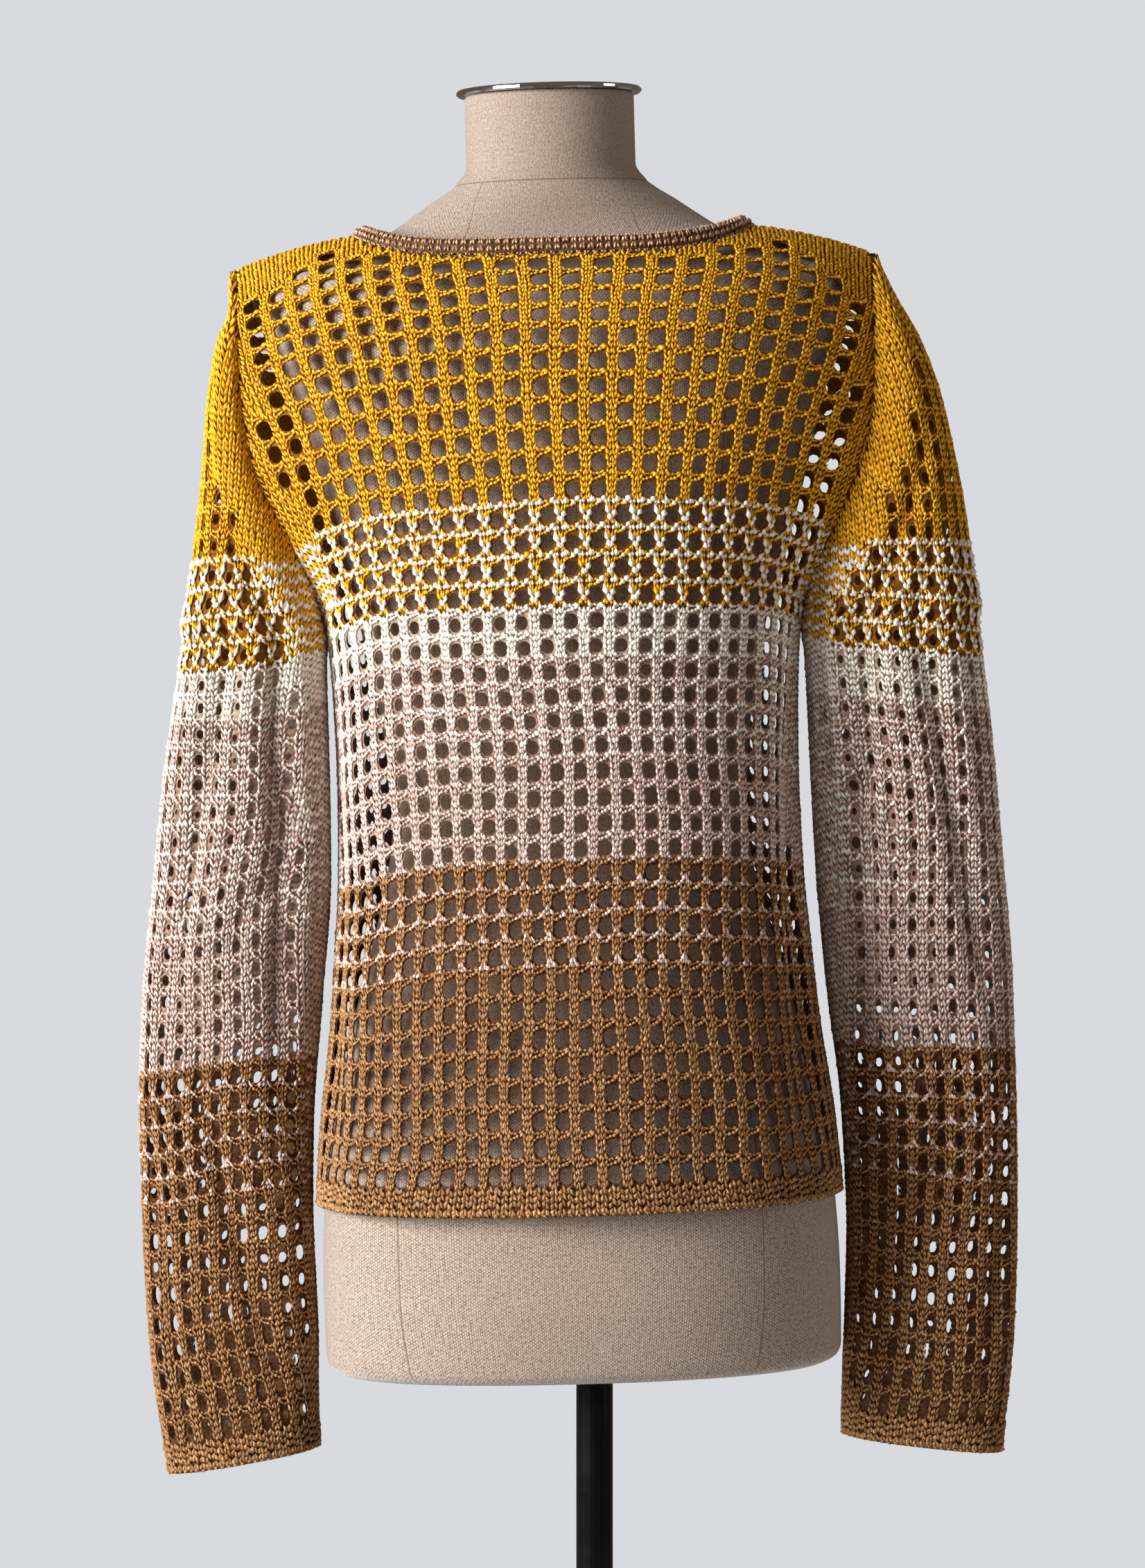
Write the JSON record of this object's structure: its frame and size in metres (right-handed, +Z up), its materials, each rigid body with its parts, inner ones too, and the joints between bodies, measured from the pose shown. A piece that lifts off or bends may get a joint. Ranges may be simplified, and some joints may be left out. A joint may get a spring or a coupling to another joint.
{
  "type": "cardigan on a dress form",
  "caption": "Open-mesh knitted cardigan with long set-in sleeves and an open front, on a limbless dress form with a pole and a round base.",
  "frame": {"origin": "centre of the base plate's underside, on the floor", "axes": "+Z up along the stand, -Y the way the garment's back faces, +X the wearer's right"},
  "size_m": [0.5171, 0.34, 1.5309],
  "materials": {
    "knit_cloth": "open-mesh cotton knit in mustard, off-white, heather beige and camel bands",
    "knit_trim": "rolled brown knit",
    "form_linen": "plain-woven linen stretched over a padded form",
    "cap_chrome": "polished chrome",
    "pole_gloss": "dark brown gloss lacquer",
    "base_paint": "dark satin lacquer"
  },
  "bodies": {
    "root": {"back": "knit_cloth", "front_left": "knit_cloth", "front_right": "knit_cloth", "sleeve_left": "knit_cloth", "sleeve_right": "knit_cloth", "neckband": "knit_trim", "front_band_left": "knit_trim", "front_band_right": "knit_trim", "torso_form": "form_linen", "neck_cap": "cap_chrome", "pole": "pole_gloss", "base_plate": "base_paint"}
  },
  "joints": []
}
